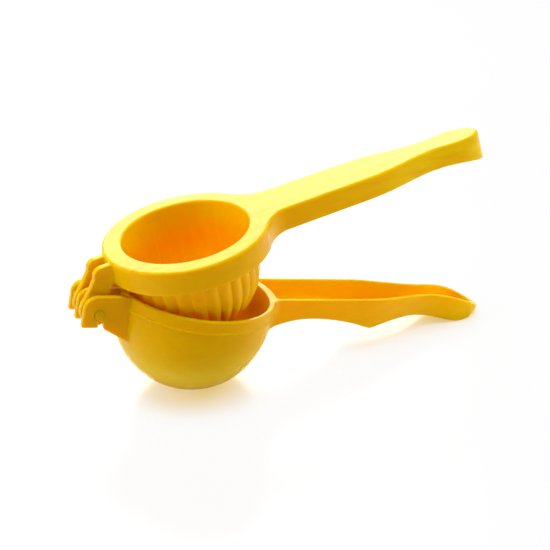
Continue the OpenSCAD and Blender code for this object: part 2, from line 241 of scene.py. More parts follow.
@dataclass
class Skin:
    """A fine quad mesh over the surface where a field is zero."""

    SLAB = 24
    PULLS = 3
    LONGEST_PULL = 0.4
    FLATTEST = 0.05
    PROBE = 0.06

    shape: FieldFunction
    low: tuple[float, float, float]
    high: tuple[float, float, float]
    cell: float = FINE_CELL
    points: Array = field(init=False)
    quads: Array = field(init=False)

    def grow(self) -> None:
        """Samples the field, lays the quads and pulls their corners onto the surface."""
        size = [int(math.ceil((h - l) / self.cell)) + 1 for l, h in zip(self.low, self.high)]
        middle = [(l + h) / 2 for l, h in zip(self.low, self.high)]
        axes = [m + (np.arange(n) - (n - 1) / 2) * self.cell for m, n in zip(middle, size)]
        values = np.empty(size, np.float32)
        for i in range(0, size[0], self.SLAB):
            slab = slice(i, i + self.SLAB)
            values[slab] = self.shape(
                axes[0][slab, None, None], axes[1][None, :, None], axes[2][None, None, :]
            )
        self._lay(values, axes)
        for _ in range(self.PULLS):
            gradient, value = self._gradient(self.points)
            step = gradient * (value / np.maximum((gradient**2).sum(1), self.FLATTEST))[:, None]
            length = np.maximum(np.linalg.norm(step, axis=1), 1e-9)
            self.points -= step * np.minimum(1, self.LONGEST_PULL * self.cell / length)[:, None]

    def normals(self) -> Array:
        """Directions straight out of the surface at the points."""
        gradient, _ = self._gradient(self.points)
        return gradient / np.maximum(np.linalg.norm(gradient, axis=1), 1e-9)[:, None]

    def _gradient(self, points: Array) -> tuple[Array, Array]:
        """Slope of the field at points, and its value there."""
        step = self.PROBE
        x, y, z = points.T
        slopes = [
            (self.shape(x + dx, y + dy, z + dz) - self.shape(x - dx, y - dy, z - dz)) / (2 * step)
            for dx, dy, dz in ((step, 0, 0), (0, step, 0), (0, 0, step))
        ]
        return np.stack(slopes, 1), self.shape(x, y, z)

    def _lay(self, values: Array, axes: list[Array]) -> None:
        """Puts a point in each cell that the surface crosses, and a quad across each crossed edge.

        Args:
            values: the field on the grid.
            axes: the grid's places along X, Y and Z.
        """
        inside = values < 0
        crossed = np.zeros([n - 1 for n in values.shape], bool)
        corners = [(i, j, k) for i in (0, 1) for j in (0, 1) for k in (0, 1)]
        first = inside[:-1, :-1, :-1]
        nx, ny, nz = crossed.shape
        for i, j, k in corners[1:]:
            crossed |= first != inside[i : i + nx, j : j + ny, k : k + nz]
        cells = np.argwhere(crossed)
        number = np.full(crossed.shape, -1, np.int64)
        number[crossed] = np.arange(len(cells))
        at = {c: values[tuple((cells + c).T)].astype(float) for c in corners}
        total, count = np.zeros((len(cells), 3)), np.zeros(len(cells))
        for a in corners:
            for axis in range(3):
                if a[axis]:
                    continue
                b = tuple(1 if i == axis else v for i, v in enumerate(a))
                change = (at[a] < 0) != (at[b] < 0)
                t = at[a][change] / (at[a][change] - at[b][change])
                place = np.tile(np.array(a, float), (len(t), 1))
                place[:, axis] = t
                total[change] += place
                count[change] += 1
        inner = total / count[:, None]
        self.points = np.stack([axes[i][0] + (cells[:, i] + inner[:, i]) * self.cell for i in range(3)], 1)
        quads = []
        for axis in range(3):
            u, v = (axis + 1) % 3, (axis + 2) % 3
            low = [slice(None)] * 3
            high = [slice(None)] * 3
            low[axis], high[axis] = slice(None, -1), slice(1, None)
            edges = np.argwhere(inside[tuple(low)] != inside[tuple(high)])
            starts_inside = inside[tuple(edges.T)]
            ring = []
            for du, dv in ((-1, -1), (0, -1), (0, 0), (-1, 0)):
                c = edges.copy()
                c[:, u] += du
                c[:, v] += dv
                ring.append(number[tuple(c.T)])
            ring = np.stack(ring, 1)
            quads.append(np.where(starts_inside[:, None], ring, ring[:, ::-1]))
        self.quads = np.concatenate(quads)

    def mesh(self, name: str, stance: Stance, opened: bool) -> bpy.types.Mesh:
        """Makes Blender's mesh of the skin in the shared frame.

        Args:
            name: the mesh's name.
            stance: how the closed frames stand.
            opened: whether the skin belongs to the half that swings up.

        Returns:
            The mesh, with its normals taken from the field.
        """
        self.grow()
        mesh = bpy.data.meshes.new(name)
        mesh.from_pydata(stance.placed(self.points, opened), [], self.quads.tolist(), shade_flat=False)
        normals = stance.placed(self.normals(), opened, turn_only=True)
        mesh.normals_split_custom_set_from_vertices(normals.tolist())
        mesh.update()
        return mesh


def show(name: str, mesh: bpy.types.Mesh) -> bpy.types.Object:
    """Puts a mesh into the scene as an object.

    Args:
        name: the object's name.
        mesh: its mesh.

    Returns:
        The object, at the shared origin.
    """
    piece = bpy.data.objects.new(name, mesh)
    bpy.context.scene.collection.objects.link(piece)
    return piece


# ---- shader groups ----


def group_with(name: str, inputs: list[tuple[str, str, object]], outputs: list[tuple[str, str]]) -> tuple:
    """Starts a shader node group.

    Args:
        name: the group's name.
        inputs: name, socket type and default of each input.
        outputs: name and socket type of each output.

    Returns:
        The group with its input node and its output node.
    """
    group = bpy.data.node_groups.new(name, "ShaderNodeTree")
    for label, kind, default in inputs:
        socket = group.interface.new_socket(label, in_out="INPUT", socket_type=kind)
        socket.default_value = default
    for label, kind in outputs:
        group.interface.new_socket(label, in_out="OUTPUT", socket_type=kind)
    return group, group.nodes.new("NodeGroupInput"), group.nodes.new("NodeGroupOutput")


def noise_in(
    tree: bpy.types.NodeTree, vector: object, scale: float, detail: float, rough: float = 0.5
) -> bpy.types.Node:
    """Adds a noise texture to a node tree.

    Args:
        tree: the tree.
        vector: the socket that gives it its place.
        scale: how many lumps there are in a metre.
        detail: how many finer layers it has.
        rough: how strong the finer layers are.

    Returns:
        The noise node.
    """
    node = tree.nodes.new("ShaderNodeTexNoise")
    node.inputs["Scale"].default_value = scale
    node.inputs["Detail"].default_value = detail
    node.inputs["Roughness"].default_value = rough
    tree.links.new(vector, node.inputs["Vector"])
    return node


def spread(
    tree: bpy.types.NodeTree, value: object, low: object, high: object, span: tuple[float, float]
) -> bpy.types.Node:
    """Maps a value from a span to the range between two others.

    Args:
        tree: the node tree.
        value: the socket to map.
        low: what the span's first end becomes, a socket or a number.
        high: what the span's second end becomes, a socket or a number.
        span: the values that are mapped.

    Returns:
        The mapping node.
    """
    node = tree.nodes.new("ShaderNodeMapRange")
    tree.links.new(value, node.inputs["Value"])
    node.inputs["From Min"].default_value, node.inputs["From Max"].default_value = span
    for label, wanted in (("To Min", low), ("To Max", high)):
        if isinstance(wanted, bpy.types.NodeSocket):
            tree.links.new(wanted, node.inputs[label])
        else:
            node.inputs[label].default_value = wanted
    return node


def stretched(tree: bpy.types.NodeTree, vector: object, scale: tuple[float, float, float]) -> object:
    """Stretches a place by a factor along each axis and gives the new socket."""
    node = tree.nodes.new("ShaderNodeVectorMath")
    node.operation = "MULTIPLY"
    tree.links.new(vector, node.inputs[0])
    node.inputs[1].default_value = scale
    return node.outputs[0]


def mixed(tree: bpy.types.NodeTree, share: object, first: object, second: object) -> object:
    """Mixes two colours and gives the new socket.

    Args:
        tree: the node tree.
        share: socket with the second colour's share.
        first: first colour, a socket or three numbers.
        second: second colour, a socket or three numbers.

    Returns:
        The socket of the mixed colour.
    """
    node = tree.nodes.new("ShaderNodeMix")
    node.data_type = "RGBA"
    tree.links.new(share, node.inputs["Factor"])
    for label, wanted in (("A", first), ("B", second)):
        if isinstance(wanted, bpy.types.NodeSocket):
            tree.links.new(wanted, node.inputs[label])
        else:
            node.inputs[label].default_value = (*wanted, 1)
    return node.outputs["Result"]


def tone_and_painted_light_group() -> bpy.types.NodeTree:
    """Group for a moulded plastic's tone and painted light: slow drift and flow streaks, with painted
    highlights that make up-facing faces and the far end paler.
    """
    group, start, end = group_with(
        "tone_and_painted_light",
        [
            ("Place", "NodeSocketVector", (0, 0, 0)),
            ("Side", "NodeSocketVector", (0, 0, 1)),
            ("Colour", "NodeSocketColor", (0.8, 0.8, 0.8, 1)),
            ("Top Colour", "NodeSocketColor", (0.8, 0.8, 0.8, 1)),
            ("Deeper Colour", "NodeSocketColor", (0.5, 0.5, 0.5, 1)),
            ("Far Colour", "NodeSocketColor", (0.8, 0.8, 0.8, 1)),
            ("Drift", "NodeSocketFloat", 0.3),
            ("Streaks", "NodeSocketFloat", 0.1),
        ],
        [("Colour", "NodeSocketColor")],
    )
    slow = noise_in(group, start.outputs["Place"], scale=24, detail=2)
    flow = noise_in(group, stretched(group, start.outputs["Place"], (1, 6, 6)), scale=55, detail=3, rough=0.6)
    drift = spread(group, slow.outputs["Fac"], 0.0, start.outputs["Drift"], span=(0.35, 0.7))
    streaks = spread(group, flow.outputs["Fac"], 0.0, start.outputs["Streaks"], span=(0.4, 0.75))
    both = group.nodes.new("ShaderNodeMath")
    both.operation = "ADD"
    both.use_clamp = True
    group.links.new(drift.outputs[0], both.inputs[0])
    group.links.new(streaks.outputs[0], both.inputs[1])
    # Painted top light: faces that point up get a paler colour, standing in for light from above.
    rise = group.nodes.new("ShaderNodeSeparateXYZ")
    group.links.new(start.outputs["Side"], rise.inputs[0])
    top = spread(group, rise.outputs["Z"], 0.0, 1.0, span=(0.3, 0.95))
    painted_top_lit = mixed(group, top.outputs[0], start.outputs["Colour"], start.outputs["Top Colour"])
    # Painted end light: the far end along X gets a paler colour, standing in for the lamp that lights the
    # handle's end.
    along = group.nodes.new("ShaderNodeSeparateXYZ")
    group.links.new(start.outputs["Place"], along.inputs[0])
    far = spread(group, along.outputs["X"], 0.0, 1.0, span=(-0.02, 0.1))
    painted_end_lit = mixed(group, far.outputs[0], painted_top_lit, start.outputs["Far Colour"])
    deeper = mixed(group, both.outputs[0], painted_end_lit, start.outputs["Deeper Colour"])
    group.links.new(deeper, end.inputs["Colour"])
    return group


def moulding_ripple_group() -> bpy.types.NodeTree:
    """Group for the gentle sink and ripple of moulded faces, and their fine surface, as one height."""
    group, start, end = group_with(
        "moulding_ripple",
        [
            ("Place", "NodeSocketVector", (0, 0, 0)),
            ("Sink", "NodeSocketFloat", 1.0),
            ("Fine", "NodeSocketFloat", 0.05),
            ("Flow", "NodeSocketFloat", 0.2),
        ],
        [("Height", "NodeSocketFloat")],
    )
    wide = noise_in(group, stretched(group, start.outputs["Place"], (1, 2.2, 1)), scale=45, detail=1.5)
    fine = noise_in(group, start.outputs["Place"], scale=900, detail=2)
    sink = spread(group, wide.outputs["Fac"], 0.0, start.outputs["Sink"], span=(0.25, 0.75))
    skin = spread(group, fine.outputs["Fac"], 0.0, start.outputs["Fine"], span=(0.25, 0.75))
    lines = noise_in(group, stretched(group, start.outputs["Place"], (1, 9, 5)), scale=40, detail=2)
    flow = spread(group, lines.outputs["Fac"], 0.0, start.outputs["Flow"], span=(0.3, 0.7))
    total = sink.outputs[0]
    for more in (skin, flow):
        added = group.nodes.new("ShaderNodeMath")
        added.operation = "ADD"
        group.links.new(total, added.inputs[0])
        group.links.new(more.outputs[0], added.inputs[1])
        total = added.outputs[0]
    group.links.new(total, end.inputs["Height"])
    return group


def handling_haze_group() -> bpy.types.NodeTree:
    """Group for the uneven shine of handled plastic: cloudy patches and hair-fine rubs."""
    group, start, end = group_with(
        "handling_haze",
        [
            ("Place", "NodeSocketVector", (0, 0, 0)),
            ("Shiny", "NodeSocketFloat", 0.2),
            ("Hazy", "NodeSocketFloat", 0.35),
        ],
        [("Roughness", "NodeSocketFloat")],
    )
    cloud = noise_in(group, start.outputs["Place"], scale=70, detail=3, rough=0.55)
    rubs = noise_in(group, stretched(group, start.outputs["Place"], (1, 14, 14)), scale=160, detail=2)
    rub_share = 0.35
    wear = group.nodes.new("ShaderNodeMath")
    wear.operation = "MULTIPLY_ADD"
    group.links.new(rubs.outputs["Fac"], wear.inputs[0])
    wear.inputs[1].default_value = rub_share
    group.links.new(cloud.outputs["Fac"], wear.inputs[2])
    out = spread(group, wear.outputs[0], start.outputs["Shiny"], start.outputs["Hazy"], span=(0.45, 0.95))
    group.links.new(out.outputs[0], end.inputs["Roughness"])
    return group


def cavity_group() -> bpy.types.NodeTree:
    """Group that finds cavities: 0 on open faces, 1 deep between walls."""
    group, start, end = group_with(
        "cavity",
        [
            ("Reach", "NodeSocketFloat", 0.03),
            ("Open", "NodeSocketFloat", 0.9),
            ("Deep", "NodeSocketFloat", 0.3),
        ],
        [("Mask", "NodeSocketFloat")],
    )
    around = group.nodes.new("ShaderNodeAmbientOcclusion")
    around.samples = 8
    group.links.new(start.outputs["Reach"], around.inputs["Distance"])
    mask = group.nodes.new("ShaderNodeMapRange")
    group.links.new(around.outputs["AO"], mask.inputs["Value"])
    group.links.new(start.outputs["Open"], mask.inputs["From Min"])
    group.links.new(start.outputs["Deep"], mask.inputs["From Max"])
    group.links.new(mask.outputs[0], end.inputs["Mask"])
    return group


class Effects:
    """The shader groups, each built once when it is first asked for."""

    makers: dict[str, Callable[[], bpy.types.NodeTree]] = {
        "tone_and_painted_light": tone_and_painted_light_group,
        "moulding_ripple": moulding_ripple_group,
        "handling_haze": handling_haze_group,
        "cavity": cavity_group,
    }

    @classmethod
    def placed(
        cls, tree: bpy.types.NodeTree, name: str, place: object = None, **values: object
    ) -> bpy.types.Node:
        """Puts a group into a material.

        Args:
            tree: the material's node tree.
            name: the group's name.
            place: the socket that gives the place on the piece, if the group asks for it.
            **values: inputs by name, with _ for a space.

        Returns:
            The group's node.
        """
        node = tree.nodes.new("ShaderNodeGroup")
        node.node_tree = bpy.data.node_groups.get(name) or cls.makers[name]()
        if place is not None:
            tree.links.new(place, node.inputs["Place"])
        for key, value in values.items():
            node.inputs[key.replace("_", " ")].default_value = value
        return node


# ---- finishes ----


@dataclass(frozen=True)
class GlossyPlastic:
    """Opaque glossy moulded plastic that lets a little light into its skin, with painted highlights on its
    tops and far end and a painted glow in its hollows.
    """

    name: str
    colour: Colour
    deeper: Colour
    # painted top light: a paler colour on up-facing faces, a painted highlight
    painted_top_light: Colour
    # painted end light: a paler colour at the far end, a painted highlight
    painted_end_light: Colour
    # painted glow in hollows: brighter, then deeper orange colours where the cavity mask finds walls close by
    painted_hollow_glow: Colour
    painted_deep_glow: Colour
    drift: float = 0.35
    streaks: float = 0.5
    shiny: float = 0.16
    hazy: float = 0.3
    sink: float = 1.0
    fine: float = 0.03
    flow: float = 0.7
    bump_strength: float = 0.3
    bump_depth: float = 0.00035
    glow: float = 0.7
    glow_depth: float = 0.003
    glow_spread: Colour = (1.0, 0.6, 0.05)
    shine_tint: Colour = (0.9, 1.0, 0.15)
    ior: float = 1.26
    cavity_reach: float = 0.06
    cavity_open: float = 0.8
    cavity_deep: float = 0.25
    deepest: tuple[float, float] = (0.6, 1.0)

    def material(self) -> bpy.types.Material:
        """Builds the material.

        Returns:
            The finished material.
        """
        made = bpy.data.materials.new(self.name)
        made.use_nodes = True
        tree = made.node_tree
        shader = tree.nodes["Principled BSDF"]
        surface = tree.nodes.new("ShaderNodeTexCoord")
        place = surface.outputs["Object"]
        # Tone with painted highlights: the group makes up-facing faces and the far end paler.
        tone = Effects.placed(
            tree, "tone_and_painted_light", place, Colour=(*self.colour, 1), Top_Colour=(*self.painted_top_light, 1),
            Deeper_Colour=(*self.deeper, 1), Far_Colour=(*self.painted_end_light, 1),
            Drift=self.drift, Streaks=self.streaks,
        )
        tree.links.new(surface.outputs["Normal"], tone.inputs["Side"])
        haze = Effects.placed(tree, "handling_haze", place, Shiny=self.shiny, Hazy=self.hazy)
        ripple = Effects.placed(
            tree, "moulding_ripple", place, Sink=self.sink, Fine=self.fine, Flow=self.flow
        )
        bump = tree.nodes.new("ShaderNodeBump")
        bump.inputs["Strength"].default_value = self.bump_strength
        bump.inputs["Distance"].default_value = self.bump_depth
        tree.links.new(ripple.outputs["Height"], bump.inputs["Height"])
        tree.links.new(bump.outputs["Normal"], shader.inputs["Normal"])
        # Painted bounce glow: where the cavity mask finds walls close by, the colour turns brighter and then
        # deeper orange, standing in for light bounced and carried through the plastic into hollows and gaps.
        cavity = Effects.placed(
            tree, "cavity", Reach=self.cavity_reach, Open=self.cavity_open, Deep=self.cavity_deep
        )
        painted_glow = mixed(tree, cavity.outputs["Mask"], tone.outputs["Colour"], self.painted_hollow_glow)
        depth = spread(tree, cavity.outputs["Mask"], 0.0, 1.0, span=self.deepest)
        colour = mixed(tree, depth.outputs[0], painted_glow, self.painted_deep_glow)
        tree.links.new(colour, shader.inputs["Base Color"])
        tree.links.new(haze.outputs["Roughness"], shader.inputs["Roughness"])
        shader.inputs["IOR"].default_value = self.ior
        shader.inputs["Specular Tint"].default_value = (*self.shine_tint, 1)
        shader.inputs["Subsurface Weight"].default_value = self.glow
        shader.inputs["Subsurface Radius"].default_value = self.glow_spread
        shader.inputs["Subsurface Scale"].default_value = self.glow_depth
        return made


@dataclass(frozen=True)
class StudioFloor:
    """Pale floor that shows white to the camera and keeps a soft shadow and a faint mirror image, with a
    painted warm reflection of the part near where it touches.
    """

    name: str = "studio_floor"
    colour: Colour = (0.9, 0.9, 0.9)
    white: float = 0.9
    contact_white: float = 0.65
    # painted reflection: warm tint of the camera's white near the contact
    painted_contact_glow: Colour = (1.0, 0.74, 0.25)
    contact_reach: float = 0.019
    contact_open: float = 0.95
    contact_deep: float = 0.2
    contact_power: float = 2.0
    roughness: float = 0.2
    mirror: float = 0.25

    def material(self) -> bpy.types.Material:
        """Builds the material.

        Returns:
            The finished material.
        """
        made = bpy.data.materials.new(self.name)
        made.use_nodes = True
        tree = made.node_tree
        shader = tree.nodes["Principled BSDF"]
        shader.inputs["Base Color"].default_value = (*self.colour, 1)
        shader.inputs["Roughness"].default_value = self.roughness
        shader.inputs["Metallic"].default_value = self.mirror
        glow = tree.nodes.new("ShaderNodeEmission")
        glow.inputs["Strength"].default_value = 1.0
        ray = tree.nodes.new("ShaderNodeLightPath")
        near = Effects.placed(
            tree, "cavity", Reach=self.contact_reach, Open=self.contact_open, Deep=self.contact_deep
        )
        level = spread(tree, near.outputs["Mask"], self.white, self.contact_white, span=(0.0, 1.0))
        close = tree.nodes.new("ShaderNodeMath")
        close.operation = "POWER"
        close.inputs[1].default_value = self.contact_power
        tree.links.new(near.outputs["Mask"], close.inputs[0])
        # Painted reflection: near the contact the white the camera sees turns warm, standing in for the
        # part's yellow reflected and bounced onto the floor.
        bounce = mixed(tree, close.outputs[0], (1.0, 1.0, 1.0), self.painted_contact_glow)
        tree.links.new(bounce, glow.inputs["Color"])
        seen = tree.nodes.new("ShaderNodeMath")
        seen.operation = "MULTIPLY"
        tree.links.new(level.outputs[0], seen.inputs[1])
        mix = tree.nodes.new("ShaderNodeMixShader")
        tree.links.new(ray.outputs["Is Camera Ray"], seen.inputs[0])
        tree.links.new(seen.outputs[0], mix.inputs["Fac"])
        tree.links.new(shader.outputs[0], mix.inputs[1])
        tree.links.new(glow.outputs[0], mix.inputs[2])
        tree.links.new(mix.outputs[0], tree.nodes["Material Output"].inputs["Surface"])
        return made


# In these finishes the top and far colours are painted highlights on up-facing faces and the far end, and the
# two cavity colours are a painted glow in hollows.
LEMON = GlossyPlastic(
    "lemon_plastic", colour=(0.92, 0.5, 0.0), deeper=(0.86, 0.43, 0.0), painted_top_light=(0.92, 0.64, 0.0),
    painted_end_light=(0.97, 0.73, 0.0), painted_hollow_glow=(1.0, 0.78, 0.0), painted_deep_glow=(1.0, 0.47, 0.0),
)
LEMON_LOWER = replace(
    LEMON, name="lemon_plastic_lower", colour=(1.0, 0.48, 0.0), deeper=(0.95, 0.41, 0.0),
    painted_top_light=(0.98, 0.62, 0.0), painted_end_light=(0.96, 0.6, 0.0),
    painted_hollow_glow=(1.0, 0.64, 0.0), painted_deep_glow=(1.0, 0.55, 0.0),
    glow=0.8, glow_depth=0.006, glow_spread=(1.0, 0.55, 0.03),
)
LEMON_PIN = GlossyPlastic(
    "pin_plastic", colour=(0.92, 0.49, 0.0), deeper=(0.86, 0.43, 0.0), painted_top_light=(0.9, 0.56, 0.0),
    painted_end_light=(0.92, 0.5, 0.0), painted_hollow_glow=(1.0, 0.52, 0.0), painted_deep_glow=(1.0, 0.42, 0.0),
    shiny=0.14, hazy=0.26,
)


# ---- pieces ----


@dataclass
class LowerHalf:
    """Bowl with drain holes, three hinge lugs and an open trough handle, in one moulding."""

    stance: Stance
    cell: float
    bowl_r: float = 36.8
    collar: float = 11.3
    wall: float = 1.9
    band_h: float = 6.0
    band_t: float = 0.4
    bead_r: float = 0.5
    bead_in: float = 0.2
    bead_up: float = 0.3
    bead_fillet: float = 0.15
    plan: HandlePlan = HandlePlan(
        start=30.8, narrow_from=88, waist_at=133, flare=21, width=27, waist_width=15.1,
        end_width=20.2, taper=1.1, reach=167.6, end_length=12,
    )
    trough_plan: HandlePlan = replace(plan, reach=166.0)
    trough_wall: float = 2.0
    trough_from: float = 39.1
    trough_corner: float = 1.6
    trough_mouth: float = 1.0
    root_fillet: float = 4.5
    arch_depths: tuple[float, float] = (10.3, 11.2)
    arch_places: tuple[float, float] = (57.5, 123.0)
    first_arch_root_r: float = 50.0
    first_arch_r: float = 111.0
    second_arch_r: float = 84.0
    finger_bump_r: float = 0.5
    heel: tuple[float, float] = (151.4, -7.9)
    heel_r: float = 6.0
    heel_run: float = 16.0
    tip_corner_r: float = 4.4
    tip_corner_end: float = -40.0
    tip_off_table: float = 0.2
    tip_lean: float = 11.0
    droop_from: float = 134.0
    droop_r: float = 82.0
    lug_pitch: float = 9.55
    lug_t: float = 2.8
    lug_rear: float = -56.4
    lug_foot: float = -14.5
    lug_top: float = 0.3
    lug_corner_r: float = 6.2
    lug_foot_r: float = 0.8
    lug_top_front: float = -39.8
    lug_rim_at: float = -38.7
    lug_inner: float = -33.8
    lug_root: float = -21.9
    lug_toe: tuple[float, float] = (3.4, 0.9)
    lug_toe_back: float = 2.4
    lug_edge: float = 0.5
    lug_fillet: float = 0.7
    slot_w: float = 2.6
    slot_lean: float = 15.0
    pin_hole_r: float = 2.18
    hole_d: float = 3.0
    hole_rings: int = 2
    hole_step: float = 5.2
    hole_zone: float = 6.0
    hole_edge: float = 0.3
    back_rise: float = 1.3
    back_rise_from: float = 0.6
    back_rise_over: float = 1.0
    top_edge: float = 0.6
    under_edge: float = 1.0
    crease: float = 0.12
    seam_fillet: float = 0.8
    box_low: tuple[float, float, float] = (-58.5, -39.0, -49.5)
    box_high: tuple[float, float, float] = (169.0, 39.0, 2.5)

    def droop(self, x: Array) -> Array:
        """Height of the open top at x."""
        return -np.maximum(x - self.droop_from, 0) ** 2 / (2 * self.droop_r)

    def underside(self, x: Array) -> Array:
        """Height of the handle's underside at x: two arches that meet in a finger bump, then a heel."""
        (d1, d2), (x1, x2) = self.arch_depths, self.arch_places
        first_r = np.where(x < x1, self.first_arch_root_r, self.first_arch_r)
        first = -d1 - (x - x1) ** 2 / (2 * first_r)
        second = -d2 - (x - x2) ** 2 / (2 * self.second_arch_r)
        arches = (first + second) / 2 + np.hypot((first - second) / 2, self.finger_bump_r)
        depth = self.heel_r - self.heel[1]
        heel = -d2 + (d2 - depth) * ease((x - x2) / (self.heel[0] - x2))
        return np.where(x > x2, heel, arches)

    def heel_outline(self) -> list[tuple[float, float]]:
        """Side outline of the handle's end, from before the heel, round the tip and far above the top."""
        tilt = self.stance.tip_angle
        t = math.radians(tilt)
        corner_x = self.plan.reach - self.tip_lean
        table = corner_x * math.sin(t) - self.stance.rim_height
        corner = (corner_x, (table + self.tip_corner_r + self.tip_off_table) / math.cos(t))
        back = self.heel[0] - self.heel_run
        under = [(float(x), float(self.underside(np.array(x)))) for x in np.linspace(back, self.heel[0], 25)]
        tip_top = (self.plan.reach, float(self.droop(np.array(self.plan.reach))))
        return (
            under
            + arc(self.heel, self.heel_r, -90, -90 + tilt)[1:]
            + arc(corner, self.tip_corner_r, -90 + tilt, self.tip_corner_end)
            + [tip_top, (self.plan.reach, FAR_ABOVE), (back, FAR_ABOVE)]
        )

    def side(self, x: Array, z: Array) -> Array:
        """Distance in side view to the handle's underside and tip, open above."""
        below = (self.underside(x) - z) / np.sqrt(1 + slope_of(self.underside, x) ** 2)
        arches = np.maximum(below, x - self.heel[0])
        return np.minimum(arches, outline_field(self.heel_outline(), x, z))

    def lugs(self, x: Array, y: Array, z: Array) -> Array:
        """Field of the three hinge lugs with their pin holes and snap slots."""
        s, c, foot_r = self.stance, self.lug_corner_r, self.lug_foot_r
        toe_x, toe_drop = self.lug_toe
        outline = (
            arc((self.lug_rear + foot_r, self.lug_foot + foot_r), foot_r, 270, 180)
            + arc((self.lug_rear + c, self.lug_top - c), c, 180, 90)
            + [(self.lug_top_front, self.lug_top), (self.lug_rim_at, 0.0), (self.lug_inner, 0.0),
               (self.lug_inner, self.lug_root), (s.pin_x + toe_x, self.lug_foot - toe_drop),
               (s.pin_x + self.lug_toe_back, self.lug_foot)]
        )
        hole = np.hypot(x - s.pin_x, z - s.pin_z) - self.pin_hole_r
        lean = math.radians(self.slot_lean)
        dx, dz = x - s.pin_x, z - s.pin_z
        slot = np.maximum(
            np.abs(dx * math.cos(lean) + dz * math.sin(lean)) - self.slot_w / 2,
            dz * math.cos(lean) - dx * math.sin(lean),
        )
        plate = np.minimum(np.abs(y), np.abs(np.abs(y) - self.lug_pitch)) - self.lug_t / 2
        solid = meet(outline_field(outline, x, z), plate, self.lug_edge)
        return meet(solid, -np.minimum(hole, slot), self.crease)

    def drains(self, x: Array, y: Array, z: Array) -> Array:
        """Field of the drain holes through the bowl's bottom: one, then rings of 6, 12 and so on."""
        r = np.hypot(x, y)
        angle = np.arctan2(y, x) + 2 * np.pi
        holes = r - self.hole_d / 2
        for ring in range(1, self.hole_rings + 1):
            step = np.pi / 3 / ring
            part = (angle - np.pi / 6 + step / 2) % step - step / 2
            place = ring * self.hole_step
            holes = np.minimum(holes, np.hypot(r * np.cos(part) - place, r * np.sin(part)) - self.hole_d / 2)
        return np.maximum(holes, z + self.collar + self.hole_zone)

    def shape(self, x: Array, y: Array, z: Array) -> Array:
        """Field of the whole lower half in its closed frame.

        Args:
            x: places along the handles.
            y: places across them.
            z: heights above the rim.

        Returns:
            Distance to the surface, negative inside the plastic.
        """
        r = np.hypot(x, y)
        bowl = round_bottom(r, z, self.bowl_r, self.collar)
        off_band = r - self.bowl_r - self.band_t
        band = meet(off_band, -self.band_h - z, self.crease)
        bead = np.hypot(off_band + self.bead_in, z + self.band_h - self.bead_up) - self.bead_r
        bowl = join(join(bowl, band, self.crease), bead, self.bead_fillet)
        plan = self.plan.field(x, y)
        side = self.side(x, z)
        handle = meet(join(bowl, plan, self.root_fillet), side, self.under_edge)
        handle = np.maximum(handle, self.plan.start - x)
        body = join(bowl, handle, self.seam_fillet)
        body = join(body, self.lugs(x, y, z), self.lug_fillet)
        past_rim = -self.bowl_r - self.back_rise_from - x
        behind = np.clip(self.back_rise * past_rim, 0, self.lug_top + self.back_rise_over)
        body = meet(body, z - self.droop(x) - behind, self.top_edge)
        body = meet(body, -round_bottom(r, z, self.bowl_r - self.wall, self.collar), self.top_edge)
        within = self.trough_plan.field(x, y) + self.trough_wall
        trough = meet(within, side + self.trough_wall, self.trough_corner)
        trough = meet(trough, self.trough_from - r, self.trough_mouth)
        body = meet(body, -trough, self.top_edge)
        return meet(body, -self.drains(x, y, z), self.hole_edge)

    def build(self) -> bpy.types.Object:
        """Builds, dresses and hangs the lower half on its body.

        Returns:
            The finished object.
        """
        skin = Skin(self.shape, self.box_low, self.box_high, self.cell)
        piece = show("lower_moulding", skin.mesh("lower_moulding", self.stance, opened=False))
        piece.data.materials.append(LEMON_LOWER.material())
        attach(piece, "lower")
        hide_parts("lower_half")
        return piece


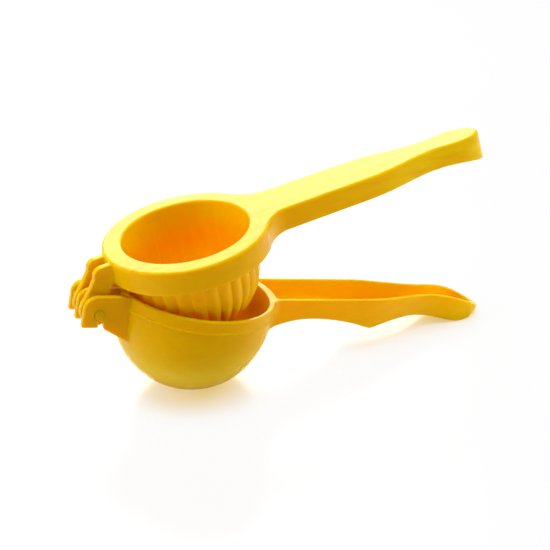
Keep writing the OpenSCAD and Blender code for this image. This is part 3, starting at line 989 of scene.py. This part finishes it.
@dataclass
class UpperHalf:
    """Ring, fluted press cup, two hinge arms and a hollow-backed handle, in one moulding."""

    stance: Stance
    cell: float
    ring_r: float = 38.197
    gap: float = 0.4
    top: float = 11.6
    plate_t: float = 2.2
    skirt_t: float = 2.0
    outer_edge: float = 1.4
    lower_edge: float = 0.5
    cup_r: float = 31.0
    cup_wall: float = 1.8
    cup_collar: float = 7.7
    mouth_edge: float = 1.1
    flutes: int = 30
    flute_depth: float = 1.05
    flute_fade: tuple[float, float] = (38.0, 58.0)
    plan: HandlePlan = HandlePlan(
        start=32.2, narrow_from=84, waist_at=130, flare=16, width=24.6, waist_width=13.6,
        end_width=15.6, taper=1.3, reach=180.0, end_length=14.4,
    )
    hollow_plan: HandlePlan = replace(plan, reach=159.57)
    hollow_corner: float = 1.0
    tip: HandlePlan = HandlePlan(
        start=100.0, narrow_from=101, waist_at=102, flare=1, width=15.64, waist_width=15.64,
        end_width=15.64, taper=1.0, reach=162.0, end_length=14.4,
    )
    tip_low: float = -4.38
    tip_lean: float = 10.0
    root_fillet: float = 9.0
    droop_from: float = 134.0
    droop_r: float = 82.0
    arm_at: float = 4.775
    arm_t: float = 3.55
    arm_top: float = 11.0
    arm_corner_r: float = 4.5
    arm_edge: float = 0.7
    neck_behind: float = 2.6
    back_step: tuple[float, float] = (1.3, 1.4)
    knuckle_r: float = 7.3
    knuckle_start: float = 0.72
    knuckle_fillet: float = 0.8
    throat: tuple[float, float] = (3.4, 1.6)
    bore_r: float = 2.28
    bore_edge: float = 0.25
    cup_fillet: float = 0.8
    cup_fillet_stop: float = 0.9
    arm_fillet: float = 0.8
    box_low: tuple[float, float, float] = (-58.0, -40.0, -40.5)
    box_high: tuple[float, float, float] = (163.0, 40.0, 13.5)

    def cup(self, x: Array, y: Array, z: Array) -> Array:
        """Field of the cup's fluted outside, as if it were solid."""
        r = np.hypot(x, y)
        step = 2 * np.pi / self.flutes
        across = np.abs((np.arctan2(y, x) + 2 * np.pi + step / 2) % step - step / 2) / (step / 2)
        down = np.degrees(np.arctan2(np.maximum(-z - self.cup_collar, 0), np.maximum(r, 1e-6)))
        fade_from, fade_to = self.flute_fade
        depth = self.flute_depth * (1 - ease((down - fade_from) / (fade_to - fade_from)))
        return round_bottom(r, z, self.cup_r, self.cup_collar) + depth * across**2

    def arms(self, x: Array, y: Array, z: Array) -> Array:
        """Field of the two hinge arms, without their bores."""
        s = self.stance
        corner_r, k, start = self.arm_corner_r, self.knuckle_r, self.knuckle_start
        neck_back, neck_front = s.pin_x + self.neck_behind, -self.ring_r + self.skirt_t / 2
        (step_x, step_z), (throat_x, throat_z) = self.back_step, self.throat
        outline = (
            [(neck_front, self.arm_top)]
            + arc((neck_back + corner_r, self.arm_top - corner_r), corner_r, 90, 180)
            + [(s.pin_x - step_x, step_z), (s.pin_x - start * k, s.pin_z + start * k), (s.pin_x, s.pin_z),
               (s.pin_x + k, s.pin_z), (neck_front - throat_x, self.gap), (neck_front, self.gap + throat_z)]
        )
        knuckle = np.hypot(x - s.pin_x, z - s.pin_z) - k
        side = join(outline_field(outline, x, z), knuckle, self.knuckle_fillet)
        return meet(side, np.abs(np.abs(y) - self.arm_at) - self.arm_t / 2, self.arm_edge)

    def shape(self, x: Array, y: Array, z: Array) -> Array:
        """Field of the whole upper half in its closed frame.

        Args:
            x: places along the handles.
            y: places across them.
            z: heights above the bowl's rim.

        Returns:
            Distance to the surface, negative inside the plastic.
        """
        r = np.hypot(x, y)
        ring = r - self.ring_r
        lean = math.radians(self.tip_lean)
        along = self.tip.reach + (x - self.tip.reach) * math.cos(lean) + (z - self.tip_low) * math.sin(lean)
        before_tip = along < self.tip.reach - self.tip.end_length
        tip = np.where(before_tip, FAR_INSIDE, self.tip.field(along, y))
        plan = join(ring, np.maximum(self.plan.field(x, y), tip), self.root_fillet)
        body = meet(plan, z - self.top, self.outer_edge)
        past = np.maximum(x - self.droop_from, 0)
        floor = (self.gap - past**2 / (2 * self.droop_r) - z) / np.sqrt(1 + (past / self.droop_r) ** 2)
        body = meet(body, floor, self.lower_edge)
        inside = join(ring, self.hollow_plan.field(x, y), self.root_fillet)
        hollow = meet(inside + self.skirt_t, z - self.top + self.plate_t, self.hollow_corner)
        body = meet(body, -hollow, self.lower_edge)
        cup = np.maximum(self.cup(x, y, z), z - self.top)
        near_top = z > self.top - self.cup_fillet_stop
        body = np.where(near_top, np.minimum(body, cup), join(body, cup, self.cup_fillet))
        body = join(body, self.arms(x, y, z), self.arm_fillet)
        cup_inside = round_bottom(r, z, self.cup_r - self.cup_wall, self.cup_collar)
        body = meet(body, -cup_inside, self.mouth_edge)
        bore = np.hypot(x - self.stance.pin_x, z - self.stance.pin_z) - self.bore_r
        return meet(body, -bore, self.bore_edge)

    def build(self) -> bpy.types.Object:
        """Builds, dresses and hangs the upper half on its body.

        Returns:
            The finished object.
        """
        skin = Skin(self.shape, self.box_low, self.box_high, self.cell)
        piece = show("upper_moulding", skin.mesh("upper_moulding", self.stance, opened=True))
        piece.data.materials.append(LEMON.material())
        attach(piece, "upper")
        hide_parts("upper_half")
        return piece


@dataclass
class HingePin:
    """Plain round pin with chamfered ends."""

    stance: Stance
    diameter: float = 4.4
    length: float = 21.9
    chamfer: float = 0.22
    chamfer_start: tuple[float, float] = (0.08, 0.02)
    chamfer_steps: tuple[float, ...] = (0.35, 0.6, 0.8, 1.0)
    segments: int = 64

    def build(self) -> bpy.types.Object:
        """Turns, dresses and hangs the pin on its body.

        Returns:
            The finished object.
        """
        half, r, c = self.length / 2, self.diameter / 2, self.chamfer
        in_from_end, out_from_end = self.chamfer_start
        profile = [(-half, r - c), (-half + in_from_end, r - c + out_from_end)]
        profile += [(-half + c * t, r - c + c * math.sin(t * math.pi / 2)) for t in self.chamfer_steps]
        profile += [(-y, radius) for y, radius in reversed(profile)]
        turns = np.linspace(0, 2 * np.pi, self.segments, endpoint=False)
        points = [
            (self.stance.pin_x + radius * math.cos(a), y, self.stance.pin_z + radius * math.sin(a))
            for y, radius in profile for a in turns
        ]
        n = self.segments
        quads = [
            (i * n + j, i * n + (j + 1) % n, (i + 1) * n + (j + 1) % n, (i + 1) * n + j)
            for i in range(len(profile) - 1) for j in range(n)
        ]
        caps = [tuple(reversed(range(n))), tuple(range((len(profile) - 1) * n, len(profile) * n))]
        mesh = bpy.data.meshes.new("pin_rod")
        mesh.from_pydata(self.stance.placed(np.array(points), False), [], quads + caps)
        mesh.polygons.foreach_set("use_smooth", [True] * len(quads) + [False, False])
        if mesh.polygons[0].normal.dot(Vector((0, 1, 0))) > 0.9:
            mesh.flip_normals()
        piece = show("pin_rod", mesh)
        piece.data.materials.append(LEMON_PIN.material())
        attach(piece, "lower")
        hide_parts("hinge_pin")
        return piece


# ---- studio ----


class Side(Enum):
    """Where a soft light stands: direction it shines from, in the shared frame."""

    ABOVE = (-0.2, -0.05, 1.0)
    LEFT = (-1.0, 0.12, 0.25)
    RIGHT = (0.96, -0.22, 0.28)
    BEHIND = (0.26, 0.83, 0.52)


@dataclass(frozen=True)
class SoftLight:
    """A large square lamp that looks at the part."""

    side: Side
    size: float
    watts: float
    glints: bool = True
    distance: float = 1.1

    def build(self, target: Vector) -> bpy.types.Object:
        """Hangs the lamp.

        Args:
            target: the place it looks at.

        Returns:
            The lamp.
        """
        lamp = bpy.data.lights.new("soft_" + self.side.name.lower(), "AREA")
        lamp.shape = "SQUARE"
        lamp.size = self.size
        lamp.energy = self.watts
        piece = bpy.data.objects.new(lamp.name, lamp)
        way = Vector(self.side.value).normalized()
        piece.location = target + way * self.distance
        piece.rotation_euler = way.to_track_quat("Z", "Y").to_euler()
        piece.visible_glossy = self.glints
        bpy.context.scene.collection.objects.link(piece)
        return piece


@dataclass
class Studio:
    """Floor, soft lights, plain surroundings and the camera."""

    target: Vector = field(default_factory=lambda: Vector((-0.010856, 0.0, 0.045761)))
    camera_from: Vector = field(default_factory=lambda: Vector((-0.40026, -0.80311, 0.44136)))
    camera_distance: float = 0.5
    lens: float = 68.05
    sensor_width: float = 36.0
    floor_half: float = 3.0
    world_level: float = 0.12
    world_shine: float = 0.25
    lights: tuple[SoftLight, ...] = (
        SoftLight(Side.ABOVE, 0.5, 5.8),
        SoftLight(Side.LEFT, 1.2, 9.0, glints=False),
        SoftLight(Side.RIGHT, 1.4, 13.5, glints=False),
        SoftLight(Side.BEHIND, 0.8, 10.0),
    )

    def build(self) -> None:
        """Builds everything round the part."""
        mesh = bpy.data.meshes.new("floor")
        h = self.floor_half
        mesh.from_pydata([(-h, -h, 0), (h, -h, 0), (h, h, 0), (-h, h, 0)], [], [(0, 1, 2, 3)])
        floor = show("floor", mesh)
        mesh.materials.append(StudioFloor().material())
        for light in self.lights:
            light.build(self.target)
        self._surroundings()
        self._camera()

    def _surroundings(self) -> None:
        """Makes the plain pale world, white where the camera sees it."""
        world = bpy.data.worlds.new("plain_studio")
        bpy.context.scene.world = world
        world.use_nodes = True
        tree = world.node_tree
        shade = tree.nodes["Background"]
        shade.inputs["Color"].default_value = (1, 1, 1, 1)
        shade.inputs["Strength"].default_value = self.world_level
        white = tree.nodes.new("ShaderNodeBackground")
        white.inputs["Color"].default_value = (1, 1, 1, 1)
        white.inputs["Strength"].default_value = 1.0
        ray = tree.nodes.new("ShaderNodeLightPath")
        mix = tree.nodes.new("ShaderNodeMixShader")
        shine = tree.nodes.new("ShaderNodeMath")
        shine.operation = "MULTIPLY"
        tree.links.new(ray.outputs["Is Glossy Ray"], shine.inputs[0])
        shine.inputs[1].default_value = self.world_shine
        camera_or_glossy = tree.nodes.new("ShaderNodeMath")
        camera_or_glossy.operation = "MAXIMUM"
        tree.links.new(ray.outputs["Is Camera Ray"], camera_or_glossy.inputs[0])
        tree.links.new(shine.outputs[0], camera_or_glossy.inputs[1])
        any_seen = tree.nodes.new("ShaderNodeMath")
        any_seen.operation = "MAXIMUM"
        tree.links.new(camera_or_glossy.outputs[0], any_seen.inputs[0])
        tree.links.new(ray.outputs["Is Transmission Ray"], any_seen.inputs[1])
        tree.links.new(any_seen.outputs[0], mix.inputs["Fac"])
        tree.links.new(shade.outputs[0], mix.inputs[1])
        tree.links.new(white.outputs[0], mix.inputs[2])
        tree.links.new(mix.outputs[0], tree.nodes["World Output"].inputs["Surface"])

    def _camera(self) -> None:
        """Sets the camera at its viewing angle."""
        data = bpy.data.cameras.new("camera")
        data.lens = self.lens
        data.sensor_width = self.sensor_width
        data.sensor_fit = "HORIZONTAL"
        camera = bpy.data.objects.new("camera", data)
        way = self.camera_from.normalized()
        camera.location = self.target + way * self.camera_distance
        camera.rotation_euler = way.to_track_quat("Z", "Y").to_euler()
        bpy.context.scene.collection.objects.link(camera)
        bpy.context.scene.camera = camera
        bpy.context.scene.view_settings.view_transform = "Standard"


def main() -> None:
    """Builds the squeezer's pieces in order and the studio round them."""
    logging.basicConfig(level=logging.INFO, format="%(name)s: %(message)s")
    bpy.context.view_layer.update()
    stance = Stance()
    cell = FINE_CELL
    for piece in (LowerHalf(stance, cell).build(), UpperHalf(stance, cell).build(), HingePin(stance).build()):
        log.info("%s: %d points, %d faces", piece.name, len(piece.data.vertices), len(piece.data.polygons))
    Studio().build()
    log.info("studio built")


if __name__ == "__main__":
    main()
